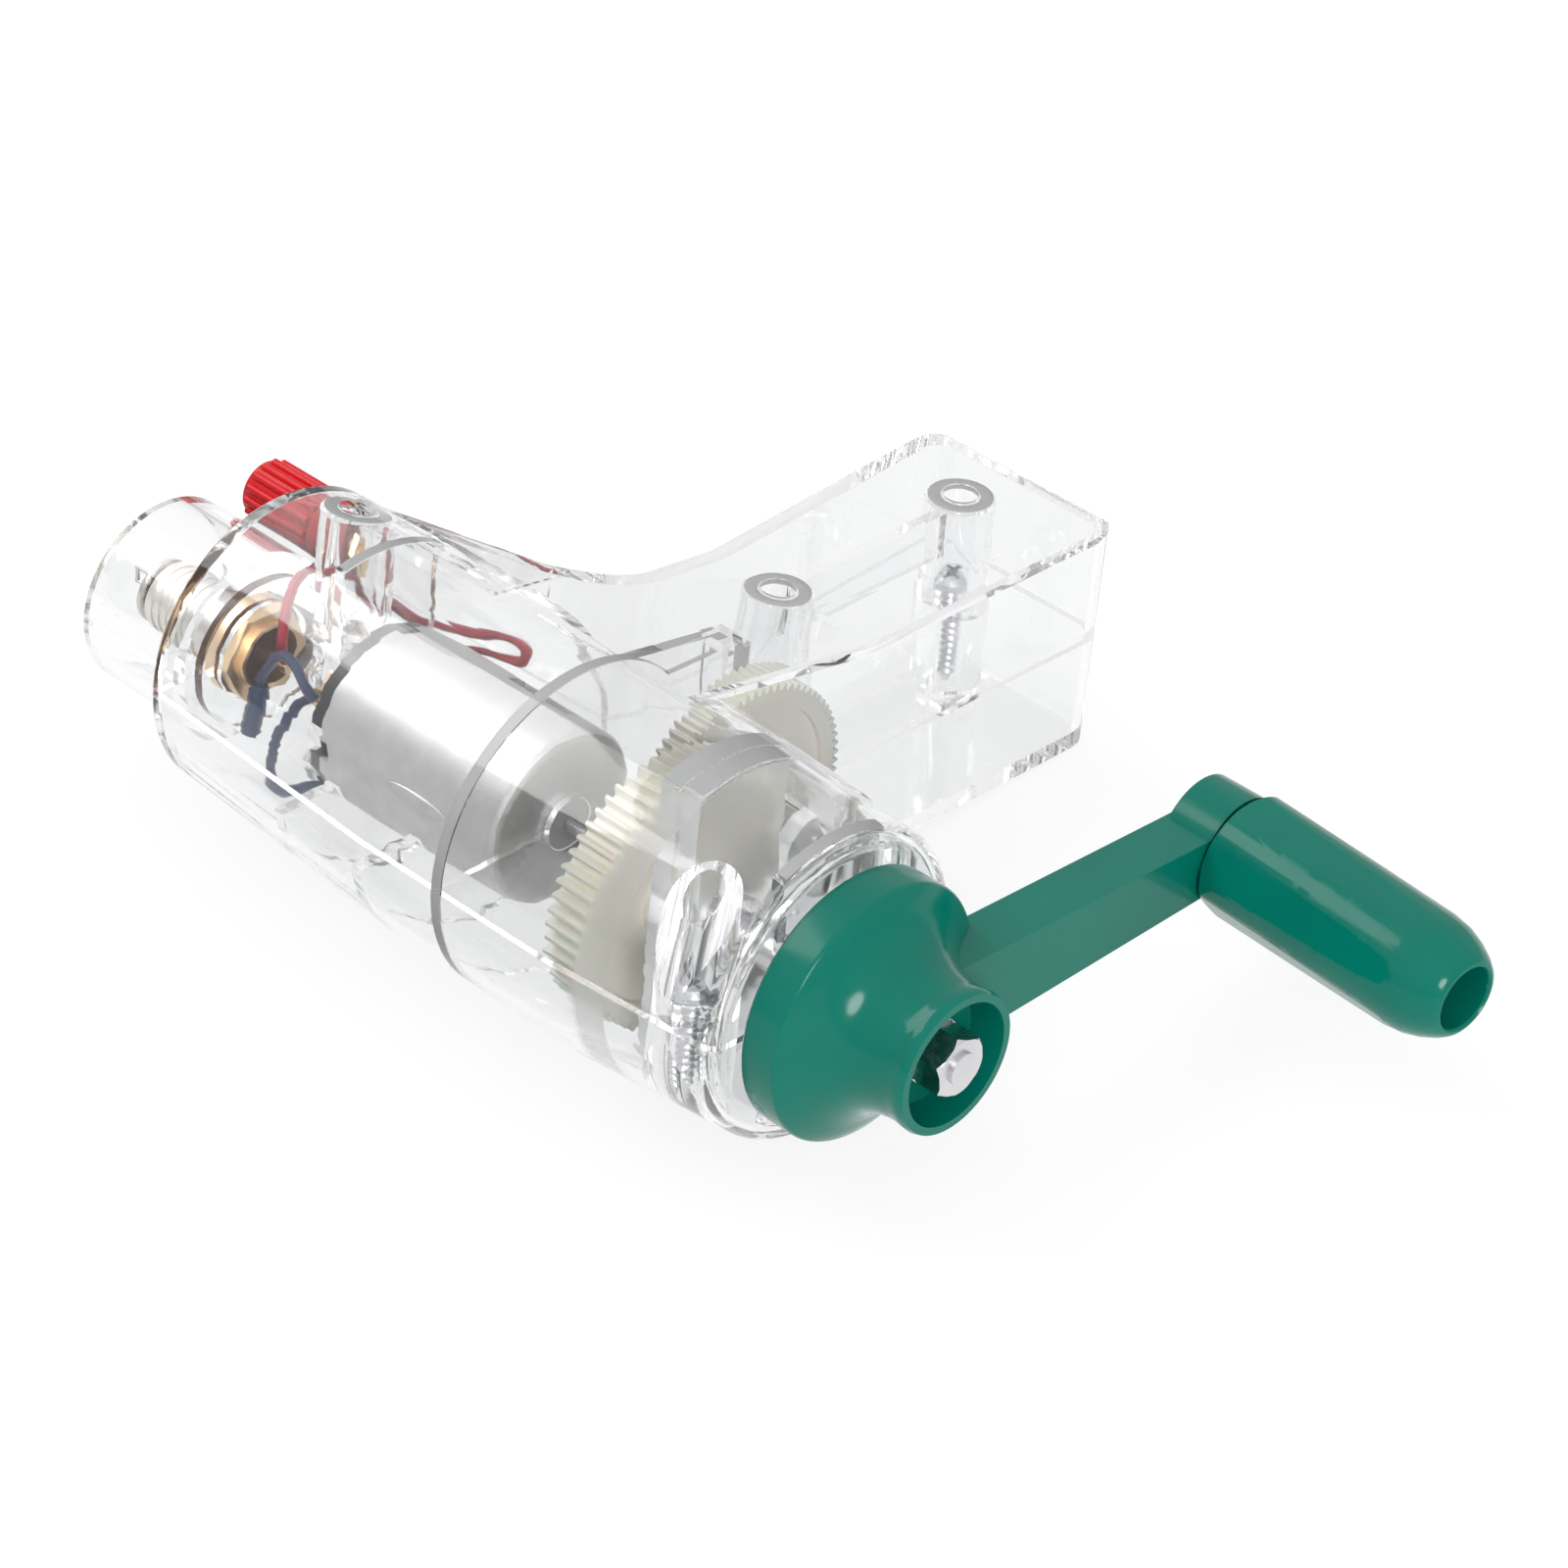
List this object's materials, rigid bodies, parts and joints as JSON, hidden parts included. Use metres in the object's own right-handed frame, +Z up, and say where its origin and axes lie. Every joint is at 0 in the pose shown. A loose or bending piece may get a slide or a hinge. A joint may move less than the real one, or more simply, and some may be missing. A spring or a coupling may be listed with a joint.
{
  "type": "hand crank generator",
  "caption": "Pistol-grip demonstration generator in a clear ribbed housing, with a crank, gear train, small motor, lamp and binding posts.",
  "frame": {"origin": "on the surface it rests on, in the middle of the whole object's length and width", "axes": "+X along the crank axis towards the crank, +Y towards the end of the grip, +Z up"},
  "size_m": [0.207, 0.1292, 0.0532],
  "materials": {
    "clear_plastic": "clear",
    "plated_steel": "plated",
    "green_plastic": "gloss",
    "cream_nylon": "satin",
    "black_plastic": "satin",
    "red_plastic": "gloss",
    "magnet": "matte",
    "brass": "plain",
    "rotor_core": "wound",
    "lamp_glass": "clear",
    "filament": "plain",
    "brown_fibre": "matte",
    "red_wire": "satin",
    "blue_wire": "satin"
  },
  "bodies": {
    "housing": {"housing_upper": "clear_plastic", "housing_lower": "clear_plastic", "housing_screws": "plated_steel", "idler_axle": "plated_steel", "motor_can": "plated_steel", "motor_magnets": "magnet", "motor_endbell": "black_plastic", "motor_terminals": "brass", "bulb_glass": "lamp_glass", "bulb_filament": "filament", "bulb_base": "brass", "bulb_contact": "black_plastic", "lamp_socket": "brass", "lamp_socket_nut": "brass", "lamp_insulator": "brown_fibre", "lamp_spring": "brass", "post_red_base": "red_plastic", "post_red_stud": "brass", "post_red_nut": "brass", "post_red_lug": "brass", "post_black_base": "black_plastic", "post_black_stud": "brass", "post_black_nut": "brass", "post_black_lug": "brass", "wire_red_lamp": "red_wire", "wire_red_motor": "red_wire", "wire_blue_lamp": "blue_wire", "wire_blue_post": "blue_wire", "wire_sleeve": "blue_wire"},
    "crank": {"crank_shaft": "plated_steel", "shaft_collar": "plated_steel", "crank_gear": "cream_nylon", "crank": "green_plastic", "crank_washer": "plated_steel", "crank_nut": "plated_steel", "handle_pin": "plated_steel", "handle_retainer": "plated_steel"},
    "handle": {"handle_grip": "green_plastic"},
    "idler": {"idler_gear": "cream_nylon"},
    "rotor": {"motor_rotor": "rotor_core", "motor_pinion": "cream_nylon"},
    "red_knob": {"post_red_knob": "red_plastic"},
    "black_knob": {"post_black_knob": "black_plastic"}
  },
  "joints": [
    {"name": "crank_turn", "type": "hinge", "parent": "housing", "child": "crank", "pos_m": [0.04677, -0.03802, 0.0266], "axis": [1, 0, 0], "continuous": true},
    {"name": "idler_spin", "type": "hinge", "parent": "housing", "child": "idler", "pos_m": [0.00677, -0.01494, 0.02483], "axis": [1, 0, 0], "continuous": true},
    {"name": "rotor_spin", "type": "hinge", "parent": "housing", "child": "rotor", "pos_m": [-0.01324, -0.03802, 0.0266], "axis": [1, 0, 0], "continuous": true},
    {"name": "handle_spin", "type": "hinge", "parent": "crank", "child": "handle", "pos_m": [0.05867, 0.03227, 0.02121], "axis": [0.9969, -0.0782, 0.006], "continuous": true},
    {"name": "red_knob_turn", "type": "hinge", "parent": "housing", "child": "red_knob", "pos_m": [-0.08393, -0.02122, 0.03644], "axis": [-1, 0, 0], "range_deg": [0, 1440]},
    {"name": "black_knob_turn", "type": "hinge", "parent": "housing", "child": "black_knob", "pos_m": [-0.08393, -0.02292, 0.01431], "axis": [-1, 0, 0], "range_deg": [0, 1440]}
  ],
  "couplings": [
    {"joint": "idler_spin", "follows": "crank_turn", "ratio": -7.25},
    {"joint": "rotor_spin", "follows": "crank_turn", "ratio": 34.438}
  ]
}
